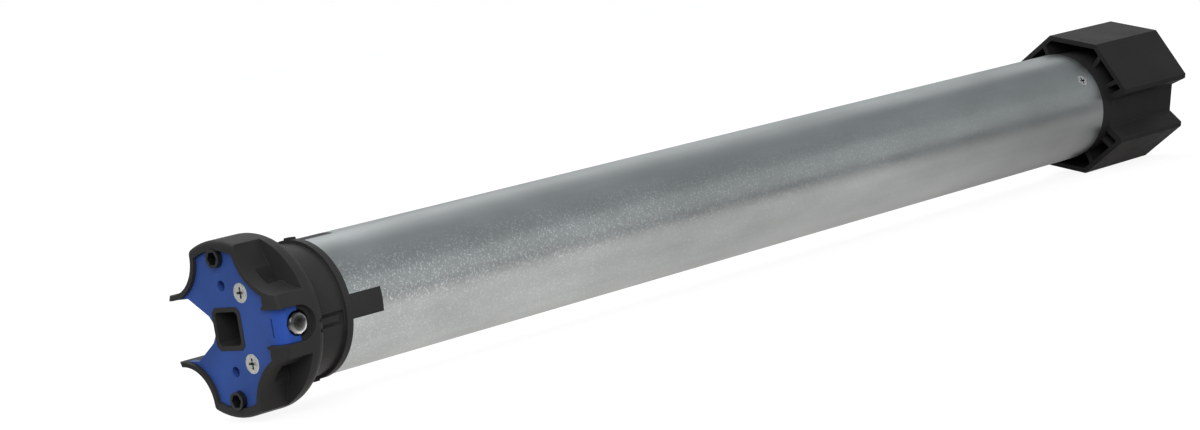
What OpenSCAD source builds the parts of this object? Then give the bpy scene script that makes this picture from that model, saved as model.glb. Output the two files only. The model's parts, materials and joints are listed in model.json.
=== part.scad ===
// Tubular roller blind motor: a star-shaped fixed head, a steel tube that holds the limit unit,
// the motor, the brake and a three-stage planetary gearbox, and an octagonal drive wheel.
// The axis of the tube is X, from the head to the drive wheel, and the origin is on the axis
// at the front of the face plate.

/* [Tube] */
// Outer diameter of the steel tube
tube_d = 45; // [44:0.5:50]
// Wall of the steel tube
tube_wall = 1; // [0.8:0.1:1.4]
// Length of the steel tube
tube_len = 428; // [420:1:620]
// Slip of what slides into the tube, on the radius
tube_slip = 0.05; // [0.03:0.01:0.1]
// Width of the slots that hold the head's tongues
slot_w = 8; // [6:0.5:10]
// Length of those slots
slot_len = 13.7; // [10:0.1:18]

/* [Head] */
// Distance from the face plate to the tube
head_len = 32; // [30:0.5:40]
// Radius that the four arms reach
arm_reach = 28.5; // [27.5:0.25:30]
// Radius at the bottom of the scoops between the arms
waist_r = 21.6; // [21:0.1:22.4]
// Radius of each scoop
scoop_r = 17.4; // [16:0.2:19]
// Radius of the two scoops beside the cable notch
far_scoop_r = 12.6; // [11.6:0.2:14]
// Width of an arm behind the front flange
arm_w = 26; // [24:0.2:27]
// Thickness of the front flange behind the plate's front
flange_t = 4; // [3.6:0.2:6]
// Where the ring behind the arms starts
ring_x = 10; // [9:0.2:12]
// Radius of the core between the arms
core_r = 18.8; // [17:0.2:20]
// Height of the rim in front of the face plate
rim_proud = 1.4; // [0.6:0.1:2]
// Width of the rim along the scoops
rim_w = 1.5; // [1:0.1:2.5]
// Radius of the face plate
plate_r = 25.3; // [24.8:0.1:26]
// Rounding of the arms' front edges
nose_r = 1.7; // [1:0.1:2.4]
// Where the head's shoulder starts to fall
shoulder_x = 12; // [11.8:0.2:15]
// Rounding of the shoulder
shoulder_r = 5; // [3:0.5:6]
// Slope of the shoulder
shoulder_slope = 65; // [40:1:75]
// Length of the spigot inside the tube
spigot_len = 20; // [18:0.5:30]

/* [Face plate] */
// Thickness of the face plate
plate_t = 3; // [2.4:0.1:3.4]
// Distance from the axis to the two mounting holes
mount_hole_y = 13.8; // [13:0.1:14.5]
// Diameter of the two mounting holes
mount_hole_d = 3.5; // [3:0.1:4]
// Depth of the two mounting holes
mount_hole_depth = 12; // [8:0.5:14]
// Width across the square socket
socket_w = 10.9; // [10.2:0.1:11.5]
// Depth of the square socket
socket_depth = 26; // [18:0.5:28]
// Wall of the square sleeve
sleeve_wall = 1.4; // [1.2:0.1:1.6]
// Sideways place of the two plate screws
plate_screw_y = 8.7; // [8.4:0.1:9.2]
// Height of the two plate screws
plate_screw_z = 11.3; // [11:0.1:12]
// Head diameter of the plate screws
plate_screw_head = 6.4; // [5.6:0.1:6.8]
// Length of the plate screws
plate_screw_len = 13; // [10:0.5:16]

/* [Cable notch] */
// Depth of the notch along the axis
notch_depth = 17; // [15:0.5:19]
// Half height of the notch between the horns
notch_half = 9.7; // [9:0.1:9.9]
// Width of the cable inlet
inlet_w = 12; // [10:0.5:13]
// Height of the cable inlet
inlet_h = 9; // [8:0.5:10]
// Length of the cable inlet inside the head
inlet_len = 12; // [9:0.5:14]

/* [Catch] */
// Where the catch stands along the axis
catch_x = 6.2; // [5.8:0.1:6.4]
// Radius of the catch's button
catch_r = 3.9; // [3.4:0.1:4]
// Distance from the axis to the top of the catch's button
catch_top = 27.6; // [27:0.1:28.2]
// Width of the catch's recess
catch_slot_w = 11.4; // [11:0.2:12]
// Distance from the axis to the floor of the catch's recess
catch_floor = 26; // [25.6:0.1:26.4]
// Thickness of the blue floor of that recess
catch_lug_t = 1.5; // [1.2:0.1:1.8]
// Travel of the catch when it is pressed
catch_travel = 2; // [1:0.1:2.2]

/* [Limit setting] */
// Distance from the axis to the setting sockets
limit_y = 22.8; // [22.4:0.1:23]
// Radius of a setting socket
limit_socket_r = 3; // [2.8:0.1:3.2]
// Height of a setting socket in front of the plate
limit_proud = 1.9; // [1:0.1:2.6]
// Width across the hexagonal key hole
hex_w = 4; // [3:0.1:4.2]
// Module of the small limit gears
limit_gear_m = 0.55; // [0.5:0.01:0.56]
// Radius of the limit rods
limit_rod_r = 1.5; // [1.2:0.1:1.5]
// Length of the limit unit
limit_unit_len = 56; // [50:1:70]
// Travel of a limit nut, each way
limit_nut_travel = 5; // [2:0.5:6]

/* [Capacitor] */
// Radius of the capacitor
capacitor_r = 14.5; // [12:0.5:15.5]
// Length of the capacitor
capacitor_len = 66; // [50:1:70]

/* [Motor] */
// Length of the stator stack
stator_len = 80; // [60:1:84]
// Inner radius of the stator
stator_bore_r = 10.5; // [10:0.1:11.5]
// Air gap between the stator and the rotor
air_gap = 0.4; // [0.3:0.05:0.6]
// How far the windings stand out of the stack
winding_overhang = 14; // [10:0.5:16]
// Radius of the rotor shaft
shaft_r = 4; // [3.5:0.1:4.5]
// Running clearance of shafts and pins, on the radius
run_gap = 0.06; // [0.05:0.01:0.08]
// Thickness of the end shields
shield_t = 6; // [5:0.5:8]
// Length of the brake space
brake_len = 26.5; // [25:0.5:30]
// Travel of the brake disc
brake_travel = 0.8; // [0.4:0.1:1]

/* [Gearbox] */
// Module of the gears
gear_m = 0.75; // [0.72:0.01:0.76]
// Face width of the first stage
face_1 = 10; // [8:0.5:12]
// Face width of the second stage
face_2 = 14; // [12:0.5:16]
// Face width of the third stage
face_3 = 20; // [16:0.5:22]
// Thickness of a planet carrier
carrier_t = 4; // [3:0.5:5]
// Side gap between gears and carriers
side_gap = 0.5; // [0.3:0.1:0.8]
// Radius of a planet pin
pin_r = 2; // [1.6:0.1:2.4]
// Length of the plug that closes the tube
plug_len = 20; // [18:0.5:26]
// Radius of the output shaft
output_r = 6; // [5.5:0.1:6.5]

/* [Drive wheel] */
// Width across the wheel's flats
wheel_af = 56; // [54:0.2:58]
// Length of the wheel
wheel_len = 47; // [40:0.5:56]
// Wall of the wheel
wheel_wall = 2; // [1.6:0.1:2.6]
// Distance from the tube to the wheel's octagon
wheel_gap = 7; // [4:0.5:12]
// Distance from the axis to the floor of the seam groove
groove_floor = 21.8; // [21:0.1:22.5]
// Width of the seam groove at its floor
groove_w = 11.5; // [9:0.5:13]
// Width of the seam groove at its mouth
groove_mouth = 19.4; // [17:0.2:20.4]
// Turn of the wheel at rest, of the groove below the near side
wheel_turn = 15; // [0:1:45]
// Distance of those screws from the tube's end
tube_screw_inset = 8; // [6:0.5:12]
// Number of screws that hold the gearbox in the tube
tube_screw_count = 3; // [2:1:4]
// Turn of the first tube screw, from the top towards the near side
tube_screw_turn = 61; // [30:1:70]

/* [Hidden] */
$fn = 72;

black = [0.17, 0.165, 0.165];
blue = [0.20, 0.30, 0.60];
steel = [0.74, 0.76, 0.78];
copper = [0.72, 0.40, 0.20];
brass = [0.80, 0.66, 0.32];

eps = 0.02;
fit = 0.05;

// Tube and head
tube_r = tube_d / 2;
bore_r = tube_r - tube_wall;
inner_r = bore_r - tube_slip;
tube_end = head_len + tube_len;
ring_r = tube_r;
flange_ring_r = ring_r + 0.5;
ring_taper = 0.7;
scoop_c = waist_r + scoop_r;
far_scoop_c = waist_r + far_scoop_r;
tongue_gap = 0.2;
spigot_end = head_len + spigot_len;
sleeve_w = socket_w + 2 * sleeve_wall;
sleeve_corner_r = sleeve_w * 0.63;
sleeve_len = socket_depth + 2;
notch_root = sleeve_w / 2 - fit;
arm_edge = arm_w / 2;
horn_wall = 2.6;
catch_guide_bottom = sleeve_w / 2 + 2.6;
catch_flange_r = catch_r + 0.5;
catch_flange_t = 1.2;
catch_flange_y = catch_floor - catch_lug_t - 0.1;
catch_lug_end = catch_x + 0.7;
plate_near = 21.9;
mount_hole_r = mount_hole_d / 2;
plate_screw_r = 1.5;

// Limit unit
limit_teeth = 12;
limit_centre = limit_gear_m * limit_teeth;
limit_turn = 44;
limit_rod_y = limit_centre * sin(limit_turn);
limit_rod_z = limit_y - limit_centre * cos(limit_turn);
limit_gear_x = plate_t + 1;
limit_gear_w = 4;
limit_pocket_end = limit_gear_x + limit_gear_w + 0.4;
limit_pocket_r = limit_centre / 2 + 0.85;
limit_x = spigot_end;
limit_end = limit_x + limit_unit_len;
limit_wall_t = 3;
limit_mid = limit_x + limit_unit_len * 0.42;
nut_len = 6;
rail_y = 14;
nut_half = 3;
guide_t = 1.6;
rail_t = 3.4;

// Motor, brake and gearbox, from the drive end back
plug_x = tube_end - plug_len;
out_plate_x = plug_x - side_gap - carrier_t;
planet_3_x = out_plate_x - side_gap - face_3;
carrier_2_x = planet_3_x - side_gap - carrier_t;
planet_2_x = carrier_2_x - side_gap - face_2;
carrier_1_x = planet_2_x - side_gap - carrier_t;
planet_1_x = carrier_1_x - side_gap - face_1;
front_plate_t = 6;
front_plate_x = planet_1_x - side_gap - front_plate_t;
front_shield_x = front_plate_x - brake_len - shield_t;
stator_x = front_shield_x - winding_overhang - stator_len;
rear_shield_x = stator_x - winding_overhang - shield_t;
rotor_r = stator_bore_r - air_gap;
bush_r = 7.5;
hub_r = 9.5;
hub_len = 6;
rotor_tail = 2;
neck_r = 2.5;
lining_t = 3;
disc_t = 5;
disc_gap = 0.15;
disc_x = front_plate_x - lining_t - disc_gap - disc_t;
disc_hub_len = 8;
disc_r = 15.5;
disc_hub_r = 7;
lining_out_r = 15;
lining_in_r = 8;
winding_out_r = 18.4;
winding_in_r = 12.2;
collar_t = 1.5;
collar_x = front_shield_x + shield_t + 1.2;
sun_teeth = 12;
planet_teeth = 18;
sun_r = gear_m * sun_teeth / 2;
planet_r = gear_m * planet_teeth / 2;
ring_teeth = sun_teeth + 2 * planet_teeth;
ring_pitch_r = gear_m * ring_teeth / 2;
planet_centre = sun_r + planet_r;
carrier_r = ring_pitch_r - 1.5;
addendum = 0.55;
dedendum = 0.85;
backlash = 0.25;
flank = 20;

// Drive wheel
wheel_x = tube_end + wheel_gap;
wheel_end = wheel_x + wheel_len;
wheel_ring_x = tube_end + 1;
wheel_corner_r = wheel_af / 2 / cos(22.5);
flat_half = output_r * 0.77;
shaft_end = wheel_end - 2;
clip_t = 1.4;
clip_x = shaft_end - 1.6 - clip_t;
clip_neck_r = 4.3;
hub_start = wheel_x + 4;
hub_end = clip_x - 0.2;
wheel_hub_r = output_r + 3.2;
wheel_ring_out = groove_floor;
wheel_ring_in = groove_floor - wheel_wall;
web_t = 3;
web_x = wheel_x + wheel_len / 2;
tube_screw_x = tube_end - tube_screw_inset;
tube_screw_head = 5.2;
tube_screw_r = 1.6;
tube_screw_len = 9;

function turned(r, a) = [r * cos(a), r * sin(a)];
function arc(cx, cy, r, from, to, n) =
    [for (i = [0:n]) [cx + r * cos(from + (to - from) * i / n), cy + r * sin(from + (to - from) * i / n)]];

// Puts a shape drawn in the Y-Z plane, and raised along Z, at x along the axis
module at_x(x) {
    translate([x, 0, 0]) rotate([90, 0, 90]) children();
}

module rod_x(x, len, r) {
    at_x(x) cylinder(h = len, r = r);
}

module ring_x_between(x, len, r_out, r_in) {
    difference() {
        rod_x(x, len, r_out);
        rod_x(x - 1, len + 2, r_in);
    }
}

// One outline of straight-flanked teeth. A negative ded_side swaps it to the spaces of a ring
module gear_outline(teeth, module_size, outer, inner, half_pitch_w) {
    pitch_r = module_size * teeth / 2;
    polygon([for (i = [0:teeth - 1])
        for (p = [[inner, -1], [outer, -1], [outer, 1], [inner, 1]])
            let (r = pitch_r + p[0],
                 h = half_pitch_w - p[0] * tan(flank))
            turned(r, i * 360 / teeth + p[1] * h / r * 180 / PI)]);
}

module outer_teeth(teeth, m, add = addendum, ded = dedendum, play = backlash) {
    gear_outline(teeth, m, add, -ded, PI * m / 4 - play / 2);
}

// A helix of round wire along X, for the springs
module coil_x(x, len, r, wire, turns) {
    steps = 16;
    sides = 6;
    count = turns * steps;
    rise = len - 2 * wire;
    points = [for (i = [0:count])
        let (a = 360 * i / steps,
             xc = x + wire + rise * i / count)
        for (j = [0:sides - 1])
            let (b = 360 * j / sides,
                 rr = r + wire * cos(b))
            [xc + wire * sin(b), rr * cos(a), rr * sin(a)]];
    sides_faces = [for (i = [0:count - 1]) for (j = [0:sides - 1])
        let (k = (j + 1) % sides)
        each [[i * sides + j, i * sides + k, (i + 1) * sides + k],
              [i * sides + j, (i + 1) * sides + k, (i + 1) * sides + j]]];
    first = [for (j = [1:sides - 2]) [0, j + 1, j]];
    last = [for (j = [1:sides - 2]) [count * sides, count * sides + j, count * sides + j + 1]];
    polyhedron(points = points, faces = concat(sides_faces, first, last));
}

// Head: the four-armed outline, the notch for the cable and the seats of what the head holds

module star(inset = 0) {
    difference() {
        circle(r = arm_reach + 1);
        for (a = [135, 225]) rotate(a) translate([scoop_c, 0]) circle(r = scoop_r + inset);
        for (a = [45, 315]) rotate(a) translate([far_scoop_c, 0]) circle(r = far_scoop_r + inset);
    }
}

module notch_outline() {
    far = arm_reach + 3;
    root_half = 1.6;
    lip = notch_half + 0.5;
    polygon([[notch_root, -root_half], [notch_root + 1.8, -4.3], [17.6, -lip], [far, -notch_half],
             [far, notch_half], [17.6, lip], [notch_root + 1.8, 4.3], [notch_root, root_half]]);
}

module head_envelope() {
    a_end = 90 - shoulder_slope;
    x1 = shoulder_x + shoulder_r * cos(a_end);
    r1 = arm_reach - shoulder_r + shoulder_r * sin(a_end);
    x2 = x1 + (r1 - ring_r) / tan(shoulder_slope);
    flange_ring_t = 2.5;
    nose = arc(arm_reach - nose_r, -rim_proud + nose_r, nose_r, -90, 0, 5);
    shoulder = [for (p = arc(shoulder_x, arm_reach - shoulder_r, shoulder_r, 90, a_end, 6)) [p[1], p[0]]];
    at_x(0) rotate_extrude() polygon(concat(
        [[0, -rim_proud]], nose, shoulder,
        [[ring_r, x2], [ring_r - ring_taper, head_len - flange_ring_t],
         [flange_ring_r, head_len - flange_ring_t],
         [flange_ring_r, head_len], [0, head_len]]));
}

module head_block() {
    front_x = -rim_proud - 1;
    intersection() {
        head_envelope();
        union() {
            at_x(front_x) linear_extrude(ring_x - front_x) star();
            at_x(ring_x) linear_extrude(head_len - ring_x) circle(r = arm_reach + 1);
        }
    }
}

// The hollows between the arms, behind the front flange: near side full, far side behind the horns
module arm_hollows() {
    reach = arm_reach + 2;
    for (top = [1, -1])
        for (side = [[-1, arm_edge], [1, notch_half + horn_wall]])
            at_x(flange_t) linear_extrude(ring_x - flange_t) difference() {
                polygon([[side[0] * arm_edge, top * side[1]], [side[0] * reach, top * side[1]],
                         [side[0] * reach, top * reach], [side[0] * arm_edge, top * reach]]);
                circle(r = core_r);
            }
}

module catch_slot(y_from, y_to) {
    half = catch_slot_w / 2;
    far = rim_proud + 2;
    translate([0, -y_from, 0]) rotate([90, 0, 0]) linear_extrude(y_to - y_from) union() {
        translate([catch_x, 0]) circle(r = half);
        translate([-far, -half]) square([catch_x + far, 2 * half]);
    }
}

// The blue floor of the catch's recess, seen from above: it bends out of the plate into the arm
module catch_lug(grow) {
    low = catch_floor - catch_lug_t;
    half = catch_slot_w / 2 - fit + grow;
    inner = 17;
    g = grow;
    front = g > 0 ? -rim_proud - 2 : 0;
    profile = g > 0
        ? [[front, inner], [front, catch_floor + 1], [catch_lug_end + g, catch_floor + 1],
           [catch_lug_end + g, low - g], [plate_t, low - g], [plate_t, inner]]
        : [[0, inner], [0, plate_near], [0.4, plate_near + 1.6], [1.1, plate_near + 2.9],
           [2.3, catch_floor], [catch_lug_end, catch_floor], [catch_lug_end, low],
           [plate_t - fit, low], [plate_t - fit, inner]];
    translate([0, 0, -half]) linear_extrude(2 * half) polygon([for (q = profile) [q[0], -q[1]]]);
}

module catch_bore() {
    translate([catch_x, -catch_guide_bottom, 0]) rotate([90, 0, 0])
        cylinder(h = catch_floor - catch_lug_t - catch_guide_bottom, r = catch_flange_r + 0.15);
}

module tongues(width, len, r) {
    for (a = [0:90:270]) rotate([a, 0, 0])
        intersection() {
            translate([head_len - 1, -width / 2, 0]) cube([len + 1, width, r]);
            rod_x(head_len - 1, len + 1, r);
        }
}

module limit_gear_pockets() {
    for (s = [1, -1])
        at_x(plate_t) linear_extrude(limit_pocket_end - plate_t) {
            translate([0, s * limit_y]) circle(r = limit_pocket_r);
            translate([limit_rod_y, s * limit_rod_z]) circle(r = limit_pocket_r);
        }
}

// Two slits and a pocket behind the catch, round a springy finger
module latch_slits() {
    width = 4.3;
    slit = 1.1;
    x0 = catch_x + catch_slot_w / 2 + 1.6;
    x1 = head_len - 2.8;
    pocket = 2.4;
    z0 = -2.4;
    reach = arm_reach + 1;
    bottom = ring_r - 1.6;
    for (z = [z0 - width / 2, z0 + width / 2 - slit])
        translate([x0, -reach, z]) cube([x1 - x0, reach - bottom, slit]);
    translate([x1 - pocket, -reach, z0 - width / 2]) cube([pocket, reach - bottom, width]);
}

module locating_nubs() {
    nub_len = 2.6;
    nub_w = 3;
    nub_h = 1.1;
    for (s = [1, -1])
        translate([head_len - nub_len, -nub_w / 2, s > 0 ? ring_r - 2 : -ring_r - nub_h])
            cube([nub_len, nub_w, nub_h + 2]);
}

module head_housing() {
    hollow_r = 15.4;
    hollow_x = inlet_start + inlet_len + 1.6;
    color(black) difference() {
        union() {
            head_block();
            locating_nubs();
            rod_x(head_len - 1, spigot_len + 1, inner_r);
            tongues(slot_w - 2 * tongue_gap, slot_len - tongue_gap, tube_r);
        }
        arm_hollows();
        latch_slits();
        at_x(-rim_proud - 2) linear_extrude(rim_proud + 2 + plate_t) plate_outline(0);
        at_x(-rim_proud - 2) linear_extrude(notch_depth + rim_proud + 2) notch_outline();
        catch_slot(catch_floor, arm_reach + 2);
        catch_lug(fit);
        translate([catch_x, -catch_guide_bottom, 0]) rotate([90, 0, 0])
            cylinder(h = arm_reach, r = catch_flange_r + 0.15);
        at_x(0) linear_extrude(sleeve_len + fit) sleeve_outline(fit);
        rod_x(hollow_x, head_len + spigot_len, hollow_r);
        limit_gear_pockets();
        for (s = [1, -1]) {
            translate([0, 0, s * limit_y])
                rod_x(-rim_proud - 2, limit_gear_x + rim_proud + 2, limit_socket_r + 0.1);
            translate([0, 0, s * limit_y]) rod_x(plate_t, 12, limit_rod_r + run_gap);
            translate([0, limit_rod_y, s * limit_rod_z]) rod_x(plate_t, spigot_end, limit_rod_r + run_gap);
            translate([0, 0, s * mount_hole_y]) rod_x(-1, mount_hole_depth + 1, mount_hole_r);
            translate([0, -plate_screw_y, s * plate_screw_z])
                rod_x(-1, plate_screw_len + 1.5, plate_screw_r + fit);
        }
        inlet_block(fit);
        contact_pins(0.15);
    }
}

// Outline of the face plate: the star set in by the rim, cut back at the notch and at the catch
module plate_outline(clear) {
    near_end = 20;
    difference() {
        intersection() {
            circle(r = plate_r - clear);
            star(rim_w + clear);
        }
        notch_outline();
        for (s = [1, -1])
            translate([-arm_reach - near_end + clear,
                s * (catch_slot_w / 2 + arm_reach / 2 - clear) - arm_reach / 2])
                square([arm_reach, arm_reach]);
        translate([-arm_reach - near_end + 1, -catch_slot_w / 2 - 1])
            square([arm_reach, catch_slot_w + 2]);
    }
}

module sleeve_outline(grow) {
    intersection() {
        square(sleeve_w + 2 * grow, center = true);
        circle(r = sleeve_corner_r + grow);
    }
}

module face_plate() {
    hinge_slit_w = 6;
    hinge_slit_t = 0.7;
    head_r = plate_screw_head / 2;
    color(blue) difference() {
        union() {
            at_x(0) linear_extrude(plate_t) plate_outline(fit);
            catch_lug(0);
        }
        at_x(-1) linear_extrude(plate_t + 2) sleeve_outline(fit);
        translate([-1, -plate_near + 0.2, -hinge_slit_w / 2 - 0.4]) cube([1.9, hinge_slit_t, hinge_slit_w]);
        catch_bore();
        translate([catch_x, 0, 0]) rotate([90, 0, 0]) cylinder(h = catch_top + 1, r = catch_r + 0.1);
        for (s = [1, -1]) {
            translate([0, 0, s * mount_hole_y]) rod_x(-1, plate_t + 2, mount_hole_r);
            translate([0, 0, s * limit_y]) rod_x(-1, plate_t + 2, limit_socket_r + 0.1);
            translate([0, -plate_screw_y, s * plate_screw_z]) {
                rod_x(-1, plate_t + 2, plate_screw_r + fit);
                at_x(-eps)
                    cylinder(h = head_r - plate_screw_r, r1 = head_r + fit, r2 = plate_screw_r + fit);
            }
        }
    }
}

module square_sleeve() {
    color(black) difference() {
        at_x(-0.2) linear_extrude(sleeve_len + 0.2) sleeve_outline(0);
        at_x(-1) linear_extrude(socket_depth + 1) intersection() {
            square(socket_w, center = true);
            circle(r = socket_w * 0.64);
        }
    }
}

module cross_recess(x, size, depth) {
    arm_t = size * 0.24;
    for (a = [0, 90]) rotate([a, 0, 0])
        translate([x - 1, -arm_t / 2, -size / 2]) cube([depth + 1, arm_t, size]);
}

module plate_screws() {
    head_r = plate_screw_head / 2;
    head_h = head_r - plate_screw_r;
    color(steel) for (s = [1, -1])
        translate([0, -plate_screw_y, s * plate_screw_z]) difference() {
            union() {
                at_x(0) cylinder(h = head_h, r1 = head_r, r2 = plate_screw_r);
                rod_x(head_h, plate_screw_len - head_h, plate_screw_r);
            }
            cross_recess(0, 3.6, 1.3);
        }
}

// Cable inlet: a socket block with four contacts, in the back wall of the notch
inlet_start = notch_depth - 0.8;
inlet_y = notch_root + 1.9 + inlet_h / 2;
contact_pitch = 2.6;
contact_w = 1.2;

module inlet_block(grow) {
    translate([inlet_start - (grow > 0 ? 1 : 0), inlet_y - inlet_h / 2 - grow, -inlet_w / 2 - grow])
        cube([inlet_len + grow + (grow > 0 ? 1 : 0), inlet_h + 2 * grow, inlet_w + 2 * grow]);
}

module contact_pins(grow) {
    w = contact_w + 2 * grow;
    len = inlet_len + 2.4;
    for (i = [-1.5:1:1.5])
        translate([inlet_start + 3 - grow, inlet_y - w / 2, i * contact_pitch - w / 2])
            cube([len - 3 + 2 * grow, w, w]);
}

module cable_inlet() {
    hole = 1.7;
    key_w = 3;
    color(black) difference() {
        inlet_block(0);
        for (i = [-1.5:1:1.5])
            translate([inlet_start - 1, inlet_y - hole / 2, i * contact_pitch - hole / 2])
                cube([7, hole, hole]);
        translate([inlet_start - 1, inlet_y + inlet_h / 2 - 1.2, -key_w / 2]) cube([6, 2, key_w]);
        contact_pins(0);
    }
}

module inlet_contacts() {
    color(brass) contact_pins(0);
}

plug_block_len = 6;
inlet_lead_r = 0.45;

module inlet_leads() {
    from = inlet_start + inlet_len + 2.4;
    color([0.15, 0.25, 0.60]) for (i = [-1.5:1:1.5])
        translate([0, inlet_y, i * contact_pitch])
            rod_x(from, limit_x + limit_wall_t + 2 - from, inlet_lead_r);
}

// The plug that brings the four leads to the board
module board_plug() {
    half_z = contact_pitch * 1.5 + 1.3;
    x = limit_x + limit_wall_t + 0.5;
    color([0.90, 0.90, 0.86]) difference() {
        translate([x, rail_y - 0.2 - 4.4, -half_z]) cube([plug_block_len, 4.4, 2 * half_z]);
        translate([x - 1, rail_y - 6, -board_t / 2]) cube([plug_block_len + 2, 7, board_t]);
        for (i = [-1.5:1:1.5])
            translate([0, inlet_y, i * contact_pitch]) rod_x(x - 1, 2.5, inlet_lead_r + 0.02);
    }
}

// Catch: a sprung button in the near arm
module catch_pin() {
    tail_r = 2.2;
    tail_end = catch_guide_bottom + catch_travel + 2;
    edge_r = 1.3;
    crown = 0.35;
    flange_bottom = catch_flange_y - catch_flange_t;
    color(steel) translate([catch_x, 0, 0]) rotate([90, 0, 0]) {
        rotate_extrude() polygon(concat(
            [[0, flange_bottom], [catch_flange_r, flange_bottom], [catch_flange_r, catch_flange_y],
             [catch_r, catch_flange_y]],
            arc(catch_r - edge_r, catch_top - crown - edge_r, edge_r, 0, 84, 6),
            [[catch_r * 0.4, catch_top - crown * 0.25], [0, catch_top]]));
        translate([0, 0, tail_end]) cylinder(h = flange_bottom - tail_end, r = tail_r);
    }
}

module catch_spring() {
    wire = 0.4;
    from = catch_guide_bottom;
    len = catch_flange_y - catch_flange_t - from - 0.1;
    color(steel) translate([catch_x, -from - 0.05, 0]) rotate([0, 0, -90])
        coil_x(0, len, catch_flange_r - 0.9, wire, 7);
}

// Limit setting: two sockets, each geared to a rod that moves a nut along the limit unit

module limit_socket(s) {
    shaft_len = 11;
    color(black) translate([0, 0, s * limit_y]) difference() {
        union() {
            rod_x(-limit_proud, limit_proud + limit_gear_x, limit_socket_r);
            at_x(limit_gear_x) linear_extrude(limit_gear_w)
                outer_teeth(limit_teeth, limit_gear_m, 0.4, 0.65, 0.2);
            rod_x(limit_gear_x, shaft_len - 1, limit_rod_r);
        }
        at_x(-limit_proud - 1) cylinder(h = 4.5, r = hex_w / 2 / cos(30), $fn = 6);
    }
}

module limit_rod(s) {
    dir = s > 0 ? atan2(limit_rod_z - limit_y, limit_rod_y) : atan2(limit_y - limit_rod_z, limit_rod_y);
    mesh_turn = dir + 180 + dir + 180 / limit_teeth;
    color(brass) translate([0, limit_rod_y, s * limit_rod_z]) {
        at_x(limit_gear_x) linear_extrude(limit_gear_w)
            rotate(mesh_turn) outer_teeth(limit_teeth, limit_gear_m, 0.4, 0.65, 0.2);
        rod_x(limit_gear_x, limit_end - limit_gear_x - 0.5, limit_rod_r);
    }
}

// The nuts of the two rods stand at different places along the unit, as set
function nut_x(s) = limit_mid - nut_len / 2 - s * 3;

module limit_nut(s) {
    finger_z = limit_rod_z - 8.2;
    color("white") difference() {
        at_x(nut_x(s)) linear_extrude(nut_len) intersection() {
            circle(r = inner_r - 0.5);
            translate([limit_rod_y - nut_half, s > 0 ? finger_z : -limit_rod_z - 2.6])
                square([2 * nut_half, limit_rod_z + 2.6 - finger_z]);
        }
        translate([0, limit_rod_y, s * limit_rod_z])
            rod_x(nut_x(s) - 1, nut_len + 2, limit_rod_r + run_gap);
    }
}

module limit_frame() {
    color([0.82, 0.82, 0.80]) difference() {
        union() {
            rod_x(limit_x, limit_wall_t, inner_r);
            rod_x(limit_end - limit_wall_t, limit_wall_t, inner_r);
            for (s = [1, -1]) intersection() {
                rod_x(limit_x, limit_unit_len, inner_r);
                translate([limit_x, s > 0 ? rail_y : -rail_y - rail_t, -6])
                    cube([limit_unit_len, rail_t, 12]);
            }
            for (s = [1, -1])
                for (y = [limit_rod_y - nut_half - 0.1 - guide_t, limit_rod_y + nut_half + 0.1])
                translate([limit_x, y, s > 0 ? 11 : -16]) cube([limit_unit_len, guide_t, 5]);
        }
        translate([limit_x - 1, inlet_y - 1, -contact_pitch * 1.5 - 1])
            cube([limit_wall_t + 2, 2, contact_pitch * 3 + 2]);
        translate([limit_end - limit_wall_t - 1, lead_y - lead_r - 0.3, -lead_pitch - lead_r - 0.3])
            cube([limit_wall_t + 2, inner_r, 2 * (lead_pitch + lead_r + 0.3)]);
        for (s = [1, -1]) translate([0, limit_rod_y, s * limit_rod_z])
            rod_x(limit_x - 1, limit_unit_len + 2, limit_rod_r + run_gap);
        rod_x(limit_x - 1, limit_wall_t + 2, 8);
    }
}

board_t = 1.6;

module limit_board() {
    color([0.10, 0.35, 0.20]) translate([limit_x + limit_wall_t, -rail_y, -board_t / 2])
        cube([limit_unit_len - 2 * limit_wall_t, 2 * rail_y, board_t]);
}

module limit_switches() {
    len = 12.8;
    wide = 6.4;
    tall = 6.6;
    color([0.12, 0.12, 0.13]) for (s = [1, -1])
        translate([limit_end - limit_wall_t - len - 6, limit_rod_y - wide / 2,
            s > 0 ? board_t / 2 : -board_t / 2 - tall]) {
            cube([len, wide, tall]);
            translate([len * 0.25, wide / 2, s > 0 ? tall : 0]) mirror([0, 0, s > 0 ? 0 : 1])
                cylinder(h = 0.8, r = 0.9);
        }
}

// Tube and its screws

module motor_tube() {
    color(steel) difference() {
        ring_x_between(head_len, tube_len, tube_r, bore_r);
        tongues(slot_w, slot_len, tube_r + 1);
        tube_screw_places() translate([0, 0, bore_r - 2]) cylinder(h = 5, r = tube_screw_r + 0.1);
        tube_screw_places() translate([0, 0, tube_r - tube_wall])
            cylinder(h = tube_wall + eps, r1 = tube_screw_r + 0.1, r2 = tube_screw_head / 2 + 0.1);
    }
}

module tube_screw_places() {
    for (i = [0:tube_screw_count - 1])
        rotate([tube_screw_turn + i * 360 / tube_screw_count, 0, 0])
            translate([tube_screw_x, 0, 0]) children();
}

module tube_screws() {
    head_h = tube_wall;
    color(steel) tube_screw_places() difference() {
        union() {
            translate([0, 0, tube_r - tube_screw_len])
                cylinder(h = tube_screw_len - head_h, r = tube_screw_r);
            translate([0, 0, tube_r - head_h])
                cylinder(h = head_h, r1 = tube_screw_r, r2 = tube_screw_head / 2);
        }
        translate([0, 0, tube_r - 0.8]) for (a = [0, 90]) rotate(a) translate([-1.5, -0.4, 0])
            cube([3, 0.8, 2]);
    }
}

// Capacitor, its collars and the leads that pass them

capacitor_room = rear_shield_x - hub_len - rotor_tail - limit_end - capacitor_len;
capacitor_x = limit_end + capacitor_room * 14 / 46;
collar_len = 8;
lead_r = 0.9;
lead_y = inner_r - 2.6;
lead_pitch = 2.4;

module capacitor() {
    color([0.88, 0.88, 0.86]) {
        rod_x(capacitor_x, capacitor_len - 3, capacitor_r);
        rod_x(capacitor_x + capacitor_len - 3, 3, capacitor_r - 1);
    }
}

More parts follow.
